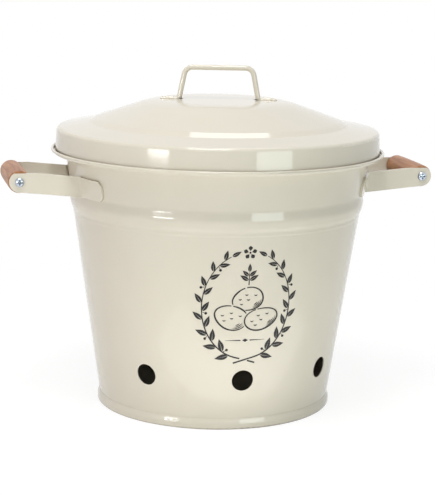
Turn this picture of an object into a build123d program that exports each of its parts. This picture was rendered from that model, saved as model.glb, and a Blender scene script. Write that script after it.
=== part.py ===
from build123d import *
import os
from math import asin, cos, degrees, radians, sin, sqrt, tan

# Potato storage bin: a tapered sheet-steel bucket with vent holes low down, a strap handle
# with a turned wooden grip on each side, and a lift-off lid with a folding wire handle.
# Millimetres and degrees. Z is up, the origin is the centre of the foot, the front is -Y
# and the side handles are on -X (left) and +X (right).

# ---- Sheet steel ----------------------------------------------------------------------
sheet = 0.8                    # bucket, base and lid

# ---- Bucket ---------------------------------------------------------------------------
foot_radius = 94.2             # outside of the wall at the foot
rim_radius = 123.1             # outside of the collar at its top
bucket_height = 206.0          # from the table to the ledge that the lid stands on
seam_height = 4.5              # the wall's edge stands upright in the seam up to here
seam_wrap = 1.9                # rolled seam of the base's edge, outside the wall
seam_bead_height = 4.0         # the seam's side is upright up to here
seam_rounding = 1.4            # and rounded under it
flare_height = 9.0             # above it, the seam draws in and meets the wall here
flare_edge = 0.15              # thickness left at that edge
base_recess = 3.7              # underside of the base above the table

# Corners of the wall's outline: a drop below the ledge, and how far inside the rim.
taper_end = (49.6, 6.77)       # the plain tapered wall ends here
small_bead = (48.6, 6.4)       # two swaged beads under the collar, a small one
valley = (46.2, 6.12)
bead_foot = (43.0, 4.8)        # and a large one
bead_flank = (40.0, 3.98)
bead_crest = (38.0, 3.6)
bead_brow = (36.2, 3.67)
groove = (30.4, 4.7)           # the collar runs from here up to the ledge
collar_top_drop = 3.4
small_bead_bend = 3.0          # rounding of the small bead's two corners
bead_bend = 8.0                # and of the others

ledge_width = 10.5             # from the collar to the outside of the low lip
ledge_inner_bend = 2.34        # bend between collar and ledge
ledge_outer_bend = 2.0         # bend between ledge and lip
lip_height = 1.7               # from the ledge to the middle of the rolled edge
curl_radius = 1.2              # rolled edge of the lip
curl_overhang = 1.4            # outside the lip

vents_per_side = 3             # at the front and at the back, and none under the handles
vent_pitch = 45.0              # degrees
vent_diameter = 17.0
vent_z = 40.6

lock_seam_width = 8.0          # folded seam down the wall, between two vents at the back
lock_seam_end = 3.0            # plain wall left between it and the small bead

# ---- Side handles ---------------------------------------------------------------------
arm_width = 16.0
arm_thickness = 1.8
arm_half_spacing = 32.0        # from the handle's middle to the middle of each arm
arm_rise = 5.3                 # degrees, outwards and up
grip_reach = 41.4              # from the rim out to the grip's axis
grip_drop = 18.0               # from the ledge down to the grip's axis
tab_sweep = 15.0               # degrees of collar that the welded tab covers
tab_corner = 6.0
bend_radius = 2.5              # inside of the bend between arm and tab
blank_margin = 3.2             # spare height of the arm's blank, cut away with its outline
grip_radius = 9.0
grip_end_radius = 8.7
grip_edge = 1.0
screw_shank_radius = 1.5
screw_length = 16.0            # in the arm and the wood
screw_tip = 3.0
screw_head_radius = 3.5
screw_head_height = 2.3
screw_rim_height = 1.035       # upright edge of the head
screw_shoulder_radius = 2.52   # where the head's dome turns over
screw_shoulder_height = 1.978
screw_hole_clearance = 0.3     # round the shank, in the arm
recess_span = 4.4              # cross recess in the screw head
recess_width = 0.9
recess_depth = 1.4

# ---- Lid ------------------------------------------------------------------------------
lid_clearance = 1.3            # between the skirt's lower edge and the inside of the lip
skirt_taper = 1.1              # the skirt draws in by this much towards the shoulder
skirt_height = 19.2            # up to the corner of the shoulder
shoulder_bend = 3.0
hem_height = 4.0               # the skirt's edge is folded inwards
hem_bite = 0.32                # how far the fold is pressed into the skirt
border_width = 25.4            # sloping border between the shoulder and the pressed step
border_rise = 4.7
step_width = 6.0
step_rise = 3.1
step_bend = 2.5
cone_angle = 19.0
cone_top_radius = 65.9         # the cone ends and the crown's bend starts
crown_bend = 71.4
crown_angle = 0.9              # slope left at the edge of the crown

# ---- Lid handle -----------------------------------------------------------------------
lid_turn = -12.5               # degrees, as the lid happens to be put on
wire_radius = 2.1
bar_rise = 26.0                # bar above the axis of the feet
bar_bend = 7.0
leg_top_half = 27.0            # legs' centres where they reach the bar's height
leg_base_half = 32.1           # and where they reach the axis of the feet
foot_bend = 2.7
foot_sink = 2.7                # the feet lie this deep in troughs pressed into the crown
wire_clearance = 0.1           # round the feet, in the lugs
leg_room = 3.7                 # radius of the round hole for the foot of each leg
foot_room = 0.8                # between each foot's end and the end of its trough
lug_gap = 2.4                  # between a leg and its lug
lug_width = 5.6
foot_overhang = 4.3            # each foot ends this far beyond its lug
lug_sheet = 0.6                # the sheet is drawn thinner where it arches over a foot

# ---- Places worked out from those -----------------------------------------------------
groove_drop, groove_inset = groove
collar_z = bucket_height - groove_drop
collar_radius = rim_radius - groove_inset
collar_top_z = bucket_height - collar_top_drop
lip_radius = rim_radius + ledge_width
curl_z = bucket_height + lip_height
grip_axis_x = rim_radius + grip_reach
grip_axis_z = bucket_height - grip_drop
skirt_radius = lip_radius - sheet - lid_clearance
skirt_top_radius = skirt_radius - skirt_taper
step_foot_radius = skirt_top_radius - border_width
step_top_radius = step_foot_radius - step_width
lug_start = leg_base_half + wire_radius + lug_gap
foot_end = lug_start + lug_width + foot_overhang


def section(*lines):
    """Flat face inside a closed outline of (radius, height) lines."""
    return make_face([edge for line in lines for edge in line.edges()])


def turned(face, sweep=360):
    """A (radius, height) face turned round the Z axis."""
    return revolve(Plane.XZ * face, Axis.Z, sweep)


def save(shape, node):
    """One file for each piece."""
    shape.label = node
    export_step(shape, f"parts/{node}.step")


# ---- Bucket ---------------------------------------------------------------------------
def wall_flare():
    """Slope of the collar, radius over height."""
    return groove_inset / (groove_drop - collar_top_drop)


def wall_place(drop, inset):
    """(radius, height) this far below the ledge and inside the rim."""
    return rim_radius - inset, bucket_height - drop


def wall_line(inset):
    """Bucket wall from the foot to the collar's top: outside, or inset from it."""
    foot = Line((foot_radius - inset, sheet), (foot_radius - inset, seam_height))
    small = [taper_end, small_bead]
    large = [valley, bead_foot, bead_flank, bead_crest, bead_brow, groove]
    corners = [wall_place(drop, inside + inset) for drop, inside in small + large]
    bends = [small_bead_bend] * len(small) + [bead_bend] * len(large)
    flank = FilletPolyline(
        foot @ 1, *corners, wall_place(collar_top_drop, inset), radius=bends)
    return foot, flank


def taper_line():
    """Outside of the plain tapered wall."""
    return Line((foot_radius, seam_height), wall_place(*taper_end))


def taper_at(height):
    taper = taper_line()
    return taper @ ((height - seam_height) / ((taper @ 1).Y - seam_height))


def ledge_line(inset):
    """Ledge and upright lip above the collar: outside, or inset from it."""
    height = bucket_height - sheet + inset
    corner_radius = rim_radius - inset + (height - collar_top_z) * wall_flare()
    inner_bend = min(ledge_inner_bend, collar_top_drop - sheet)
    return FilletPolyline(
        (rim_radius - inset, collar_top_z),
        (corner_radius, height),
        (lip_radius - inset, height),
        (lip_radius - inset, curl_z),
        radius=[inner_bend + inset, ledge_outer_bend - inset],
    )


def bucket_envelope():
    """Everything inside the outside of the wall, up to the collar's top, as one solid."""
    outside = wall_line(0)
    axis = Polyline(outside[-1] @ 1, (0, collar_top_z), (0, sheet), outside[0] @ 0)
    return turned(section(*outside, axis))


def make_bucket_wall():
    outside, inside = wall_line(0), wall_line(sheet)
    outer_ledge, inner_ledge = ledge_line(0), ledge_line(sheet)
    foot_edge = Line(outside[0] @ 0, inside[0] @ 0)
    lip_end = Line(outer_ledge @ 1, inner_ledge @ 1)
    wall_face = section(*outside, outer_ledge, lip_end, inner_ledge, *inside, foot_edge)
    curl_centre = lip_radius + curl_overhang - curl_radius
    wall = turned(wall_face + Pos(curl_centre, curl_z) * Circle(curl_radius))

    seam_bottom = taper_at(flare_height)
    seam_top = taper_at(wall_place(*taper_end)[1] - lock_seam_end)
    seam_face = section(Polyline(
        (seam_bottom.X - sheet / 2, seam_bottom.Y),
        (seam_bottom.X + sheet, seam_bottom.Y),
        (seam_top.X + sheet, seam_top.Y),
        (seam_top.X - sheet / 2, seam_top.Y),
        close=True,
    ))
    seam_sweep = degrees(lock_seam_width / seam_top.X)
    seam_angle = 90 - vent_pitch / 2
    wall += Rot(Z=seam_angle - seam_sweep / 2) * turned(seam_face, seam_sweep)
    drill = Pos(foot_radius, 0, vent_z) * Rot(Y=90) * Cylinder(vent_diameter / 2, foot_radius)
    for middle in (-90, 90):
        for index in range(vents_per_side):
            turn = middle + (index - (vents_per_side - 1) / 2) * vent_pitch
            wall -= Rot(Z=turn) * drill
    return wall


def make_base_disc():
    wall_inside = foot_radius - sheet
    flange_inside = wall_inside - sheet
    plate_top = base_recess + sheet
    bead_radius = foot_radius + seam_wrap
    meeting = taper_at(flare_height)
    side = FilletPolyline(
        (flange_inside, 0), (bead_radius, 0), (bead_radius, seam_bead_height), radius=seam_rounding)
    flare = Spline(side @ 1, (meeting.X + flare_edge, flare_height), tangents=[(0, 1), taper_line() % 1])
    inside = Polyline(
        flare @ 1,
        meeting,
        (foot_radius, seam_height),
        (foot_radius, sheet),
        (wall_inside, sheet),
        (wall_inside, plate_top),
        (0, plate_top),
        (0, base_recess),
        (flange_inside, base_recess),
        side @ 0,
    )
    return turned(section(side, flare, inside))


# ---- Side handles ---------------------------------------------------------------------
def collar_x(y, radius):
    """X where a circle of the radius crosses the line at y."""
    return sqrt(radius ** 2 - y ** 2)


def upright_edges(shape, y, far_x):
    """Tall edges of an arm's blank that stand at y, near the collar."""
    return [
        edge for edge in shape.edges()
        if abs(edge.center().Y - y) < sheet / 10
        and edge.bounding_box().size.Z > arm_width
        and edge.center().X < far_x
    ]


def make_arm(envelope):
    """Front arm of the right handle: flat strap, bend and welded tab, clear of the wall."""
    rise = radians(arm_rise)
    inner_y = arm_thickness / 2 - arm_half_spacing
    outer_y = -arm_thickness / 2 - arm_half_spacing
    root_radius = collar_radius + (grip_axis_z - collar_z) * wall_flare()
    root_x = collar_x(inner_y, root_radius)
    root_z = grip_axis_z - (grip_axis_x - root_x) * tan(rise)
    half_band = arm_width / 2 / cos(rise)
    low, high = root_z - half_band, root_z + half_band

    # Tall plate and tall tab, joined by the bend, before the strap's outline is cut out.
    bottom, top = low - blank_margin, high + blank_margin
    bottom_radius = collar_radius + (bottom - collar_z) * wall_flare()
    top_radius = collar_radius + (top - collar_z) * wall_flare()
    tab_face = section(Polyline(
        (bottom_radius - 2 * arm_thickness, bottom),
        (bottom_radius + arm_thickness, bottom),
        (top_radius + arm_thickness, top),
        (top_radius - 2 * arm_thickness, top),
        close=True,
    ))
    start_angle = degrees(asin(arm_half_spacing / root_radius))
    tab = Rot(Z=-start_angle - tab_sweep) * turned(tab_face, tab_sweep)
    plate_start = root_x - arm_thickness
    plate_length = grip_axis_x + arm_width - plate_start
    plate = Pos(plate_start + plate_length / 2, -arm_half_spacing, (bottom + top) / 2) * Box(
        plate_length, arm_thickness, top - bottom)
    blank = plate + tab
    bend_edges = upright_edges(blank, outer_y, root_x + 2 * arm_thickness)
    blank = fillet(bend_edges, bend_radius)

    # Side view: level along the tab, then rising to the rounded end with its screw hole.
    end_x, end_z = arm_width / 2 * sin(rise), arm_width / 2 * cos(rise)
    strap = section(Polyline(
        (0, low),
        (root_x, low),
        (grip_axis_x + end_x, grip_axis_z - end_z),
        (grip_axis_x - end_x, grip_axis_z + end_z),
        (root_x, high),
        (0, high),
        close=True,
    ))
    end = Pos(grip_axis_x, grip_axis_z)
    strap = strap + end * Circle(arm_width / 2) - end * Circle(screw_shank_radius + screw_hole_clearance)
    arm = blank & extrude(Plane.XZ * strap, root_x)
    near_end_y = -root_radius * sin(radians(start_angle + tab_sweep)) + tab_corner
    corners = [
        edge for edge in arm.edges()
        if edge.bounding_box().size.Z < arm_thickness / 10
        and edge.length < 4 * arm_thickness
        and edge.center().Y < near_end_y
    ]
    arm = fillet(corners, tab_corner)

    # Heel of the bend, round the same centre as its inside, leaning with the collar.
    heel_radius = bend_radius + arm_thickness
    pivot_y = outer_y - bend_radius
    pivot_x = collar_x(pivot_y, root_radius + heel_radius)
    lean = wall_flare() * (root_radius + heel_radius) / pivot_x
    heel_frame = Plane((pivot_x, pivot_y, root_z), x_dir=(1, 0, -lean), z_dir=(lean, 0, 1))
    reach = 3 * heel_radius
    heel = section(Polyline(
        (0, 0),
        (0, reach),
        (-reach, reach),
        (-reach, -reach * pivot_y / pivot_x),
        close=True,
    )) - Circle(heel_radius)
    heel_cut = extrude(heel_frame * heel, arm_width, both=True)
    return arm - heel_cut - envelope


def make_grip():
    """Turned wooden grip, slightly barrelled, with a pilot hole in each end."""
    half = arm_half_spacing - arm_thickness / 2
    barrel = ThreePointArc((grip_end_radius, -half), (grip_radius, 0), (grip_end_radius, half))
    face = section(barrel, Polyline(barrel @ 1, (0, half), (0, -half), barrel @ 0))
    grip = turned(fillet(face.vertices().group_by(Axis.X)[-1], grip_edge))
    pilot = screw_shank()
    for flip in (0, 180):
        grip -= Rot(X=flip) * Pos(0, 0, half + arm_thickness) * pilot
    return Pos(grip_axis_x, 0, grip_axis_z) * Rot(X=90) * grip


def screw_shank():
    """Shank below the head, pointing down from the origin."""
    length = screw_length
    outline = Polyline((0, 0), (screw_shank_radius, 0), (screw_shank_radius, screw_tip - length),
                       (0, -length), close=True)
    return turned(section(outline))


def make_screw():
    """Pan-head wood screw of the right handle's front arm."""
    rim = Line((screw_head_radius, 0), (screw_head_radius, screw_rim_height))
    dome = ThreePointArc(
        rim @ 1,
        (screw_shoulder_radius, screw_shoulder_height),
        (0, screw_head_height),
    )
    head = turned(section(rim, dome, Polyline(dome @ 1, (0, 0), rim @ 0)))
    slot = Pos(0, 0, screw_head_height) * Box(recess_span, recess_width, 2 * recess_depth)
    screw = head + screw_shank() - slot - Rot(Z=90) * slot
    seat = arm_half_spacing + arm_thickness / 2
    return Pos(grip_axis_x, -seat, grip_axis_z) * Rot(X=90) * screw


# ---- Lid ------------------------------------------------------------------------------
def crown_arc(centre, radius, start, end):
    """Arc about a (radius, height) centre between two slopes, in degrees."""
    points = [
        (centre[0] + radius * sin(radians(angle)), centre[1] + radius * cos(radians(angle)))
        for angle in (start, (start + end) / 2, end)
    ]
    return ThreePointArc(*points)


def lid_line(inset):
    """Lid from the skirt's edge to the middle: outside, or inset from it."""
    shoulder_z = bucket_height + skirt_height - inset
    step_foot_z = shoulder_z + border_rise
    step_top_z = step_foot_z + step_rise
    cone_z = step_top_z + (step_top_radius - cone_top_radius) * tan(radians(cone_angle))
    flanks = FilletPolyline(
        (skirt_radius - inset, bucket_height),
        (skirt_top_radius - inset, shoulder_z),
        (step_foot_radius, step_foot_z),
        (step_top_radius, step_top_z),
        (cone_top_radius, cone_z),
        radius=[shoulder_bend - inset, step_bend + inset, step_bend],
    )
    bend_centre = (
        cone_top_radius - crown_bend * sin(radians(cone_angle)),
        cone_z - crown_bend * cos(radians(cone_angle)),
    )
    bend = crown_arc(bend_centre, crown_bend, cone_angle, crown_angle)
    edge = bend @ 1
    crown_radius = edge.X / sin(radians(crown_angle))
    crown_centre = (0, edge.Y - crown_radius * cos(radians(crown_angle)))
    crown = crown_arc(crown_centre, crown_radius, crown_angle, 0)
    return flanks, bend, crown


def lid_face(inset):
    """Everything under the lid's line, as a (radius, height) face."""
    lines = lid_line(inset)
    return section(*lines, Polyline(lines[-1] @ 1, (0, bucket_height), lines[0] @ 0))


def crown_z(radius):
    """Height of the lid's crown at a radius inside the crown's bend."""
    crown = lid_line(0)[-1]
    edge, top = crown @ 0, crown @ 1
    sphere = edge.X / sin(radians(crown_angle))
    return top.Y - sphere + sqrt(sphere ** 2 - radius ** 2)


def foot_z():
    """Height of the axis that the lid handle's feet turn on."""
    return crown_z(leg_base_half) + wire_radius - foot_sink


def make_lid_shell():
    hem_inside = skirt_radius - 2 * sheet
    hem_depth = sheet + hem_bite
    hem = Pos(hem_inside + hem_depth / 2, bucket_height + hem_height / 2) * Rectangle(hem_depth, hem_height)
    hollow = turned(lid_face(sheet))
    shell = turned(lid_face(0) - lid_face(sheet) + hem)

    # Each leg passes through a hole, and its foot lies in a trough, under a lug that arches
    # over it from the edges of a window.
    axis_z = foot_z()
    space = wire_radius + wire_clearance
    cover = space + lug_sheet
    trough_length = foot_end + foot_room - leg_base_half
    for side in (-1, 1):
        hole = Pos(side * leg_base_half, 0, axis_z) * Cylinder(leg_room, 4 * cover)
        trough_x = side * (leg_base_half + trough_length / 2)
        channel = Pos(trough_x, 0, axis_z) * Rot(Y=90) * Cylinder(space, trough_length)
        trough = Pos(trough_x, 0, axis_z) * Rot(Y=90) * Cylinder(cover, trough_length + 2 * lug_sheet)
        lug_x = side * (lug_start + lug_width / 2)
        arch = Pos(lug_x, 0, axis_z) * Rot(Y=90) * Cylinder(cover, lug_width)
        flanks = Pos(lug_x, 0, axis_z - cover / 2) * Box(lug_width, 2 * cover, cover)
        window = Pos(lug_x, 0, axis_z - cover) * Box(lug_width, 2 * space, 2 * cover)
        lug = arch + flanks - hollow
        shell = shell + (trough & hollow) + lug - channel - window - hole
    return Rot(Z=lid_turn) * shell


def make_lid_handle():
    axis_z = foot_z()
    bar_z = axis_z + bar_rise
    path = FilletPolyline(
        (-foot_end, 0, axis_z),
        (-leg_base_half, 0, axis_z),
        (-leg_top_half, 0, bar_z),
        (leg_top_half, 0, bar_z),
        (leg_base_half, 0, axis_z),
        (foot_end, 0, axis_z),
        radius=[foot_bend, bar_bend, bar_bend, foot_bend],
    )
    wire = Plane(origin=path @ 0, z_dir=path % 0) * Circle(wire_radius)
    return Rot(Z=lid_turn) * sweep(wire, path=path)


# ---- All pieces -----------------------------------------------------------------------
def placed(piece, side, end):
    """The right handle's front piece, mirrored to its own corner of the bucket."""
    if side == "left":
        piece = piece.mirror(Plane.YZ)
    if end == "rear":
        piece = piece.mirror(Plane.XZ)
    return piece


os.makedirs("parts", exist_ok=True)

save(make_bucket_wall(), "bucket_wall")
save(make_base_disc(), "base_disc")

arm = make_arm(bucket_envelope())
grip = make_grip()
screw = make_screw()
for side in ("left", "right"):
    save(placed(grip, side, "front"), f"{side}_grip")
    for end in ("front", "rear"):
        save(placed(arm, side, end), f"{side}_{end}_arm")
        save(placed(screw, side, end), f"{side}_{end}_screw")

save(make_lid_shell(), "lid_shell")
save(make_lid_handle(), "lid_handle")
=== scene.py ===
from math import atan2, cos, hypot, pi, radians, sin

import bmesh
import bpy
from mathutils import Matrix, Vector


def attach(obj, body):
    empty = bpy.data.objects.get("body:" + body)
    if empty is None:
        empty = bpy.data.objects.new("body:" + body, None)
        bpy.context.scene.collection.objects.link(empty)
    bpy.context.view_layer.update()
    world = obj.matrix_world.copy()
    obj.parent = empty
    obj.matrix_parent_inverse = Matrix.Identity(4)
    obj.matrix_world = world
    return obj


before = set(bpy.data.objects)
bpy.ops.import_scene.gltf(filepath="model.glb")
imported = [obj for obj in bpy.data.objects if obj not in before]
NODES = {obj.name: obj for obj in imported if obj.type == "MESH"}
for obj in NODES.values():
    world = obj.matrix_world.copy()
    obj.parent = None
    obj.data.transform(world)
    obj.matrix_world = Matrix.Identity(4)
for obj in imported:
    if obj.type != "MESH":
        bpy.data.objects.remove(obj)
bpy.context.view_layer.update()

# A potato storage bin of powder-coated sheet steel: a tapered bucket with vent holes and two
# strap handles with turned wooden grips, and a pressed lid with a folding wire handle.
# Metres and degrees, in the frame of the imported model: Z is up and the front is -Y.

MM = 0.001


# ---- Places on the bin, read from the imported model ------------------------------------
FRONT = [vertex.co for vertex in NODES["bucket_wall"].data.vertices if vertex.co.y < 0]


def front_radius(height):
    """Outside radius of the front of the wall, where it has vertices at a height."""
    return max(hypot(place.x, place.y) for place in FRONT if abs(place.z - height) < 0.01 * MM)


UPRIGHT_TOP = 4.5 * MM                         # the wall stands upright up to here, then tapers
BEADS_START = 156.2 * MM                       # and the plain taper ends just below this
TAPER_TOP = max(place.z for place in FRONT if place.z < BEADS_START)
FOOT_RADIUS = front_radius(UPRIGHT_TOP)
TAPER_TOP_RADIUS = front_radius(TAPER_TOP)


def wall_radius(height):
    """Outside radius of the plain tapered wall at a height."""
    share = (height - UPRIGHT_TOP) / (TAPER_TOP - UPRIGHT_TOP)
    return FOOT_RADIUS + share * (TAPER_TOP_RADIUS - FOOT_RADIUS)


# ---- Node and colour helpers ----------------------------------------------------------
def linear(colour):
    """Scene-linear RGBA of an sRGB hex colour."""
    values = []
    for start in (1, 3, 5):
        value = int(colour[start:start + 2], 16) / 255
        values.append(value / 12.92 if value <= 0.04045 else ((value + 0.055) / 1.055) ** 2.4)
    return (*values, 1.0)


def add(tree, kind, links=None, **settings):
    """A new node: settings are attributes or input sockets, links feed sockets by name."""
    node = tree.nodes.new(kind)
    for name, value in settings.items():
        if hasattr(node, name):
            setattr(node, name, value)
        else:
            node.inputs[name.replace("_", " ")].default_value = value
    for socket, source in (links or {}).items():
        tree.links.new(source, node.inputs[socket])
    return node


def blend(tree, factor, one, two):
    """The colour between one and two, each a hex colour or another node's output."""
    mix = add(tree, "ShaderNodeMix", {"Factor": factor}, data_type="RGBA")
    for socket, colour in ((mix.inputs[6], one), (mix.inputs[7], two)):
        if isinstance(colour, str):
            socket.default_value = linear(colour)
        else:
            tree.links.new(colour, socket)
    return mix.outputs[2]


def new_material(name):
    """An empty material's node tree, with its output node."""
    material = bpy.data.materials.new(name)
    material.use_nodes = True
    tree = material.node_tree
    tree.nodes.clear()
    return material, tree, add(tree, "ShaderNodeOutputMaterial")


# ---- Materials ------------------------------------------------------------------------
def powder_coated_steel():
    """Sheet steel with an oven-cured polyester powder coat in glossy cream.

    The coat is a thick, even plastic film: sharp lamp reflections over a soft body colour,
    with a faint long ripple, called orange peel, that makes the edges of reflections waver.
    Down in creases, and along the edges of whatever touches the sheet, painted shade darkens it.
    """
    material, tree, output = new_material("powder_coated_steel")
    place = add(tree, "ShaderNodeTexCoord").outputs["Object"]
    cloud = add(tree, "ShaderNodeTexNoise", {"Vector": place}, Scale=1 / 0.045, Detail=2.0)
    unshaded = blend(tree, cloud.outputs["Fac"], "#DAD2C2", "#DED7C8")
    # painted shade: ambient occlusion darkens the coat colour towards #A2927E in creases and
    # corners
    openness = add(tree, "ShaderNodeAmbientOcclusion", samples=6, Distance=5.0 * MM)
    crease_shade = add(tree, "ShaderNodeMapRange", {"Value": openness.outputs["AO"]},
                 From_Min=0.25, From_Max=0.62)
    tint = blend(tree, crease_shade.outputs["Result"], "#A2927E", unshaded)
    peel = add(tree, "ShaderNodeTexNoise", {"Vector": place}, Scale=1 / 0.0025, Detail=1.0)
    ripple = add(tree, "ShaderNodeBump", {"Height": peel.outputs["Fac"]},
                 Strength=0.06, Distance=0.2 * MM)
    shader = add(tree, "ShaderNodeBsdfPrincipled",
                 {"Base Color": tint, "Normal": ripple.outputs["Normal"]},
                 Roughness=0.07, IOR=1.5)
    tree.links.new(shader.outputs[0], output.inputs["Surface"])
    return material


def turned_beech():
    """Steamed beech turned on a lathe and given a thin satin lacquer."""
    material, tree, output = new_material("turned_beech")
    place = add(tree, "ShaderNodeTexCoord").outputs["Object"]
    along = add(tree, "ShaderNodeMapping", {"Vector": place})
    along.inputs["Scale"].default_value = (1.0, 0.09, 1.0)
    figure = add(tree, "ShaderNodeTexNoise", {"Vector": along.outputs[0]},
                 Scale=1 / 0.0032, Detail=4.0, Distortion=0.6)
    tone = add(tree, "ShaderNodeValToRGB", {"Fac": figure.outputs["Fac"]})
    stops = tone.color_ramp.elements
    stops[0].position = 0.32
    stops[0].color = linear("#905A39")
    stops[1].position = 0.68
    stops[1].color = linear("#BC865B")
    shader = add(tree, "ShaderNodeBsdfPrincipled", {"Base Color": tone.outputs["Color"]},
                 Roughness=0.42, IOR=1.5)
    tree.links.new(shader.outputs[0], output.inputs["Surface"])
    return material


def zinc_plated_steel():
    """Steel screws with bright, faintly blue zinc plate, darkened down in the recess by painted
    shade.
    """
    material, tree, output = new_material("zinc_plated_steel")
    place = add(tree, "ShaderNodeTexCoord").outputs["Object"]
    bloom = add(tree, "ShaderNodeTexNoise", {"Vector": place}, Scale=1 / 0.0012, Detail=3.0)
    plate = blend(tree, bloom.outputs["Fac"], "#A8B4C4", "#D3DCE6")
    # painted shade: ambient occlusion darkens the plate colour towards #23283A down in the recess
    openness = add(tree, "ShaderNodeAmbientOcclusion", samples=8, Distance=1.2 * MM)
    unshaded = add(tree, "ShaderNodeMapRange", {"Value": openness.outputs["AO"]},
                From_Min=0.5, From_Max=0.9)
    colour = blend(tree, unshaded.outputs["Result"], "#23283A", plate)
    shader = add(tree, "ShaderNodeBsdfPrincipled", {"Base Color": colour},
                 Metallic=1.0, Roughness=0.24)
    tree.links.new(shader.outputs[0], output.inputs["Surface"])
    return material


def seen_directly(tree):
    """1 for camera, glossy and transmission rays, 0 for the rays that carry bounced light."""
    path = add(tree, "ShaderNodeLightPath").outputs
    pair = add(tree, "ShaderNodeMath", operation="MAXIMUM")
    tree.links.new(path["Is Camera Ray"], pair.inputs[0])
    tree.links.new(path["Is Glossy Ray"], pair.inputs[1])
    either = add(tree, "ShaderNodeMath", operation="MAXIMUM")
    tree.links.new(pair.outputs[0], either.inputs[0])
    tree.links.new(path["Is Transmission Ray"], either.inputs[1])
    return either.outputs[0]


def pale_table():
    """Matt white table. It is white all over and keeps the bin's soft shadow round the foot."""
    material, tree, output = new_material("pale_table")
    place = add(tree, "ShaderNodeTexCoord").outputs["Object"]
    distance = add(tree, "ShaderNodeVectorMath", {"Vector": place}, operation="LENGTH")
    far = add(tree, "ShaderNodeMapRange", {"Value": distance.outputs["Value"]},
              From_Min=0.2, From_Max=0.6)
    surface = add(tree, "ShaderNodeBsdfDiffuse", Color=linear("#F6F5F2"))
    shade = add(tree, "ShaderNodeBsdfDiffuse", Color=linear("#7A7A7A"))
    glow = add(tree, "ShaderNodeEmission", Color=linear("#FFFFFF"), Strength=0.86)
    near = add(tree, "ShaderNodeAddShader")
    tree.links.new(shade.outputs[0], near.inputs[0])
    tree.links.new(glow.outputs[0], near.inputs[1])
    white = add(tree, "ShaderNodeEmission", Color=linear("#FFFFFF"), Strength=1.0)
    shown = add(tree, "ShaderNodeMixShader", {"Fac": far.outputs["Result"]})
    tree.links.new(near.outputs[0], shown.inputs[1])
    tree.links.new(white.outputs[0], shown.inputs[2])
    mixed = add(tree, "ShaderNodeMixShader", {"Fac": seen_directly(tree)})
    tree.links.new(surface.outputs[0], mixed.inputs[1])
    tree.links.new(shown.outputs[0], mixed.inputs[2])
    tree.links.new(mixed.outputs[0], output.inputs["Surface"])
    return material


def black_ink():
    """Screen-printed enamel ink, near black: a thin, even, slightly raised film, semi-gloss."""
    material, tree, output = new_material("black_ink")
    place = add(tree, "ShaderNodeTexCoord").outputs["Object"]
    mesh_marks = add(tree, "ShaderNodeTexNoise", {"Vector": place}, Scale=1 / 0.0008, Detail=1.0)
    tint = blend(tree, mesh_marks.outputs["Fac"], "#141210", "#1E1B19")
    shader = add(tree, "ShaderNodeBsdfPrincipled", {"Base Color": tint},
                 Roughness=0.35, IOR=1.5)
    tree.links.new(shader.outputs[0], output.inputs["Surface"])
    return material


def dress(node, material):
    """The CAD node's mesh in one material."""
    slots = NODES[node].data.materials
    slots.clear()
    slots.append(material)


coat = powder_coated_steel()
wood = turned_beech()
zinc = zinc_plated_steel()
for node in NODES:
    if node.endswith("_grip"):
        dress(node, wood)
    elif node.endswith("_screw"):
        dress(node, zinc)
    else:
        dress(node, coat)


# ---- Printed wreath -------------------------------------------------------------------
# Drawn flat in millimetres: x runs round the wall from the middle of the front, y is the
# height above the table. Each mark is a pair of edges with ink between them.
PRINT_PROUD = 0.12 * MM                        # of the ink above the wall
PRINT_SUNK = 0.10 * MM                         # and of its back inside the wall
FINEST = 0.04                                  # narrowest half width of a mark
WREATH_MIDDLE = Vector((0.0, 102.0))
WREATH_HALF_WIDTH = 35.0
WREATH_HALF_HEIGHT = 43.0
STALKS_PART = -78.0                            # below this angle the two stalks drop and cross
STALK_DROP = 5.0                               # and their ends hang this far below the ring
CROSSING_GAP = 2.4                             # bare wall to either side of the upper stalk
BRANCH_START, BRANCH_END = -104.0, 66.0
BRANCH_STEP = 2.0                              # degrees between the points of a stem
LEAVES_PER_BRANCH = 16
LEAF_SPREAD = 38.0                             # degrees between a leaf and its stem
LEAF_LONGEST, LEAF_SHORTEST = 10.5, 7.5        # at the foot and at the tip of a branch
LEAF_BREADTH = 0.2                             # half width of a leaf, as a share of its length
LEAF_LEAN = 0.75                               # below 1, it is widest nearer its base
VEIN = 0.2                                     # half width of the bare vein in a leaf
BERRY_TURN = 114.0                             # degrees between a berry's stalk and the stem
BERRY_RADIUS = 1.05
BERRY_STALK = 0.18                             # half width
POTATOES = (                                   # centre, half length, half height, tilt, lumps
    ((11.6, 91.0), 12.8, 9.0, 16.0, 0.4),
    ((-11.8, 92.6), 13.4, 9.3, -12.0, 2.1),
    ((0.6, 107.4), 12.4, 8.9, 4.0, 4.0),
)
LONG_LUMP, SHORT_LUMP = 0.05, 0.03             # how far a potato swells past its ellipse
EYES = ((165, 0.55), (100, 0.5), (40, 0.62), (215, 0.5), (75, 0.05))    # angle, share outwards
EYE_RADIUS = 1.3
SHADING_LINES = 3


def heading(angle):
    return Vector((cos(radians(angle)), sin(radians(angle))))


def turned_left(direction):
    return Vector((-direction.y, direction.x))


def swelling(widest, lean=1.0):
    """Half width of a mark that is widest in its middle and comes to a point at both ends."""
    return lambda share: max(FINEST, widest * sin(pi * share ** lean))


def tapering(start, end):
    """Half width of a mark that changes evenly from one end to the other."""
    return lambda share: start + (end - start) * share


def stroke(points, half_width):
    """A line of ink. half_width gives half its width at a share of its length."""
    last = len(points) - 1
    left, right = [], []
    for index, point in enumerate(points):
        along = points[min(index + 1, last)] - points[max(index - 1, 0)]
        side = turned_left(along).normalized() * half_width(index / last)
        left.append(point + side)
        right.append(point - side)
    return left, right


def dot(centre, radius, steps=12):
    points = [centre + Vector((0, -radius * cos(pi * step / steps))) for step in range(steps + 1)]
    return stroke(points, swelling(radius))


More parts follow.
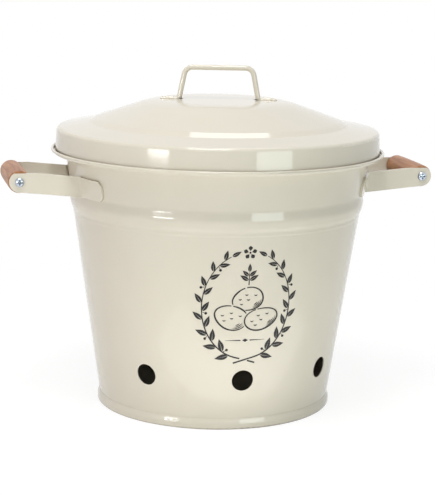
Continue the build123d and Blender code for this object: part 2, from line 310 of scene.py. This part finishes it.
def leaf(base, aim, length, steps=8):
    """The two halves of a leaf, with a bare vein between them."""
    halves = []
    for side in (turned_left(aim), -turned_left(aim)):
        inner, outer = [], []
        for step in range(steps + 1):
            share = step / steps
            spine = base + aim * length * share
            vein = VEIN * (1 - share)
            inner.append(spine + side * vein)
            outer.append(spine + side * (vein + swelling(LEAF_BREADTH * length, LEAF_LEAN)(share)))
        halves.append((inner, outer))
    return halves


def branch_place(angle):
    drop = STALK_DROP * (max(0.0, STALKS_PART - angle) / (STALKS_PART - BRANCH_START)) ** 2
    x, y = heading(angle)
    return WREATH_MIDDLE + Vector((WREATH_HALF_WIDTH * x, WREATH_HALF_HEIGHT * y - drop))


def branch():
    """Right half of the wreath: a stem with leaves to either side, and berries."""
    points = int((BRANCH_END - BRANCH_START) / BRANCH_STEP) + 1
    stem = [branch_place(BRANCH_START + index * BRANCH_STEP) for index in range(points)]
    marks = [stroke(stem, tapering(0.6, 0.25))]
    first = STALKS_PART + 8
    for index in range(LEAVES_PER_BRANCH):
        share = index / (LEAVES_PER_BRANCH - 1)
        angle = first + share * (BRANCH_END - first)
        place = branch_place(angle)
        along = (branch_place(angle + 1) - branch_place(angle - 1)).normalized()
        side = 1 if index % 2 else -1
        at_tip = index == LEAVES_PER_BRANCH - 1
        spread = 0 if at_tip else side * LEAF_SPREAD
        aim = Matrix.Rotation(radians(spread), 2) @ along
        length = LEAF_LONGEST + (LEAF_SHORTEST - LEAF_LONGEST) * share
        marks += leaf(place + aim * 0.9, aim, length)
        if index % 3 == 1:
            out = Matrix.Rotation(radians(side * BERRY_TURN), 2) @ along
            marks.append(stroke([place + out * 0.7, place + out * 2.6],
                                tapering(BERRY_STALK, BERRY_STALK)))
            marks.append(dot(place + out * 3.5, BERRY_RADIUS))
    return marks


def mirrored(marks):
    return [tuple([Vector((-point.x, point.y)) for point in edge] for edge in mark)
            for mark in marks]


def broken_at_crossing(mark):
    """The parts of a stalk to either side of the one that crosses over it."""
    pairs = list(zip(*mark))
    before = [pair for pair in pairs if pair[0].x > CROSSING_GAP]
    after = [pair for pair in pairs if pair[0].x < -CROSSING_GAP]
    return [tuple(map(list, zip(*part))) for part in (before, after)]


def lumpy(potato, angle):
    """Outline of a potato as a multiple of its ellipse."""
    lumps = potato[4]
    return 1 + LONG_LUMP * cos(2 * angle + lumps) + SHORT_LUMP * cos(3 * angle - lumps)


def potato_place(potato, angle, scale=1.0):
    centre, half_length, half_height, tilt, _ = potato
    reach = scale * lumpy(potato, angle)
    spot = Vector((half_length * cos(angle), half_height * sin(angle))) * reach
    return Vector(centre) + Matrix.Rotation(radians(tilt), 2) @ spot


def covers(potato, point):
    """Whether a point is behind a potato or its outline."""
    centre, half_length, half_height, tilt, _ = potato
    spot = Matrix.Rotation(radians(-tilt), 2) @ (point - Vector(centre))
    angle = atan2(spot.y / half_height, spot.x / half_length)
    return hypot(spot.x / half_length, spot.y / half_height) < 1.1 * lumpy(potato, angle)


def seen_arcs(potato, in_front, start, end, scale):
    """Runs of points along a potato's outline, scaled about its middle, that none covers."""
    runs = [[]]
    for degree in range(start, end + 1, 3):
        point = potato_place(potato, radians(degree), scale)
        if any(covers(other, point) for other in in_front):
            runs.append([])
        else:
            runs[-1].append(point)
    return [run for run in runs if len(run) > 2]


def potatoes():
    """A heap of potatoes in outline, shaded at the lower right and dotted with eyes."""
    marks = []
    for index, potato in enumerate(POTATOES):
        in_front = POTATOES[:index]
        for run in seen_arcs(potato, in_front, 100, 454, 1.0):
            marks.append(stroke(run, lambda share: 0.35 + 0.27 * sin(pi * share)))
        for line in range(SHADING_LINES):
            start, end = -78 + 9 * line, -4 - 12 * line
            arcs = seen_arcs(potato, in_front, start, end, 0.88 - 0.11 * line)
            marks += [stroke(run, swelling(0.32)) for run in arcs]
        for angle, share in EYES:
            middle = potato_place(potato, radians(angle), share)
            if any(covers(other, middle) for other in in_front):
                continue
            lower_lid = [middle + heading(turn) * EYE_RADIUS for turn in range(200, 341, 20)]
            marks.append(stroke(lower_lid, swelling(0.42)))
    return marks


def sprig(foot, height):
    """Potato leaves on a stem."""
    stem = [foot + Vector((0, height * step / 6)) for step in range(7)]
    marks = [stroke(stem, tapering(0.4, 0.2))]
    marks += leaf(stem[-1] + Vector((0, 0.5)), heading(90), 6.5)
    for step, spread in ((2, 58), (4, 48)):
        for side in (-1, 1):
            aim = heading(90 + side * spread)
            marks += leaf(stem[step] + aim * 0.8, aim, 8.6 - 0.5 * step)
    return marks


def blossom(centre):
    marks = [dot(centre, 0.8)]
    for petal in range(5):
        aim = heading(90 + 72 * petal)
        points = [centre + aim * (1.4 + 4.0 * step / 8) for step in range(9)]
        marks.append(stroke(points, swelling(1.6, 1.3)))
    return marks


def ruled_diamond(centre):
    """A diamond between two tapering lines."""
    rows = [centre + Vector((x, 0)) for x in (-2.2, 0, 2.2)]
    marks = [stroke(rows, swelling(1.3))]
    for side in (-1, 1):
        line = [centre + Vector((side * (3.6 + 1.5 * step), 0)) for step in range(9)]
        marks.append(stroke(line, tapering(0.38 + FINEST, FINEST)))
    return marks


def on_front(point, proud):
    """A point of the drawing, laid on the front of the tapered wall."""
    radius = wall_radius(point.y * MM)
    angle = point.x * MM / radius - pi / 2
    radius += proud
    return radius * cos(angle), radius * sin(angle), point.y * MM


def print_on_front(name, marks, ink):
    """A thin closed film of ink for each mark, on the bucket."""
    film = bmesh.new()
    for left, right in marks:
        rings = [
            [film.verts.new(on_front(point, proud)) for point, proud in (
                (one, PRINT_PROUD), (two, PRINT_PROUD), (two, -PRINT_SUNK), (one, -PRINT_SUNK))]
            for one, two in zip(left, right)
        ]
        film.faces.new(rings[0])
        film.faces.new(rings[-1])
        for here, there in zip(rings, rings[1:]):
            for corner in range(4):
                film.faces.new((here[corner - 1], here[corner], there[corner], there[corner - 1]))
    bmesh.ops.recalc_face_normals(film, faces=film.faces)
    mesh = bpy.data.meshes.new(name)
    film.to_mesh(mesh)
    film.free()
    mesh.materials.append(ink)
    piece = bpy.data.objects.new(name, mesh)
    bpy.context.scene.collection.objects.link(piece)
    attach(piece, "bucket")


right_branch = branch()
left_branch = mirrored(right_branch)
wreath = right_branch + broken_at_crossing(left_branch[0]) + left_branch[1:]
wreath += blossom(WREATH_MIDDLE + Vector((0, WREATH_HALF_HEIGHT - 0.5)))
wreath += sprig(Vector((0.4, 118.8)), 10.0)
wreath += potatoes()
wreath += ruled_diamond(WREATH_MIDDLE - Vector((0, 28.0)))
print_on_front("printed_wreath", wreath, black_ink())


# ---- Studio ---------------------------------------------------------------------------
def make_floor():
    half = 4.0
    mesh = bpy.data.meshes.new("table_top")
    mesh.from_pydata([(-half, -half, 0), (half, -half, 0), (half, half, 0), (-half, half, 0)],
                     [], [(0, 1, 2, 3)])
    floor = bpy.data.objects.new("table_top", mesh)
    bpy.context.scene.collection.objects.link(floor)
    mesh.materials.append(pale_table())


def make_lamp(name, place, aim, width, height, radiance, colour="#FFFFFF"):
    """A rectangular soft box. Its radiance is how bright its front looks, 1 being white."""
    data = bpy.data.lights.new(name, "AREA")
    data.color = linear(colour)[:3]
    data.shape = "RECTANGLE"
    data.size = width
    data.size_y = height
    data.energy = radiance * pi * width * height
    lamp = bpy.data.objects.new(name, data)
    lamp.location = place
    lamp.rotation_mode = "QUATERNION"
    lamp.rotation_quaternion = (Vector(aim) - Vector(place)).to_track_quat("-Z", "Y")
    lamp.visible_camera = False
    bpy.context.scene.collection.objects.link(lamp)


def make_world():
    """White surroundings, dimmer as a light than they look, and brightest from the upper left."""
    world = bpy.data.worlds.new("studio")
    bpy.context.scene.world = world
    world.use_nodes = True
    tree = world.node_tree
    tree.nodes.clear()
    towards = add(tree, "ShaderNodeTexCoord").outputs["Generated"]
    upper_left = (-0.3, 0, 1)
    likeness = add(tree, "ShaderNodeVectorMath", {"Vector": towards}, operation="DOT_PRODUCT")
    likeness.inputs[1].default_value = upper_left
    strength = add(tree, "ShaderNodeMapRange", {"Value": likeness.outputs["Value"]},
                   From_Min=-0.1, From_Max=1.0, To_Min=0.0, To_Max=0.52)
    light = add(tree, "ShaderNodeBackground", {"Strength": strength.outputs["Result"]},
                Color=linear("#FFFFFF"))
    white = add(tree, "ShaderNodeBackground", Color=linear("#FFFFFF"), Strength=1.0)
    mixed = add(tree, "ShaderNodeMixShader", {"Fac": seen_directly(tree)})
    tree.links.new(light.outputs[0], mixed.inputs[1])
    tree.links.new(white.outputs[0], mixed.inputs[2])
    output = add(tree, "ShaderNodeOutputWorld")
    tree.links.new(mixed.outputs[0], output.inputs["Surface"])


def make_camera():
    azimuth, elevation, roll = -13.32, 11.05, 1.15
    distance = 1.3326
    aim = Vector((0.0015, 0, 0.12624))
    turn = Matrix.Rotation(radians(azimuth), 4, "Z")
    back = Vector((0, -cos(radians(elevation)), sin(radians(elevation))))
    tilt = Matrix.Rotation(radians(90 - elevation), 4, "X")
    twist = Matrix.Rotation(radians(roll), 4, "Z")
    data = bpy.data.cameras.new("camera")
    data.sensor_width = 36.0
    data.lens = 117.8
    camera = bpy.data.objects.new("camera", data)
    bpy.context.scene.collection.objects.link(camera)
    camera.matrix_world = turn @ Matrix.Translation(aim + back * distance) @ tilt @ twist
    bpy.context.scene.camera = camera


def on_circle(azimuth, distance, height):
    """A place round the bin: azimuth 0 is in front, and grows towards +X."""
    return (distance * sin(radians(azimuth)), -distance * cos(radians(azimuth)), height)


make_floor()
make_world()
make_camera()
make_lamp("left_soft_box", on_circle(-52.3, 1.25, 0.259), aim=(0, 0, 0.259),
          width=0.32, height=0.142, radiance=22.0)
make_lamp("right_soft_box", on_circle(24.5, 1.3, 0.25), aim=(0, 0, 0.25),
          width=0.56, height=0.40, radiance=4.4, colour="#EEFFFA")
make_lamp("overhead_soft_box", (-0.16, -0.38, 1.3), aim=(-0.05, -0.10, 0.1),
          width=0.42, height=0.5, radiance=11.5)
make_lamp("foot_bounce_card", (0.02, -0.175, 0.004), aim=(0.02, -0.175, 1.0),
          width=0.40, height=0.10, radiance=0.9)
make_lamp("rear_soft_box", (0.22, 0.60, 1.35), aim=(0, 0, 0.15),
          width=0.5, height=0.35, radiance=3.5)

bpy.context.scene.view_settings.view_transform = "Standard"
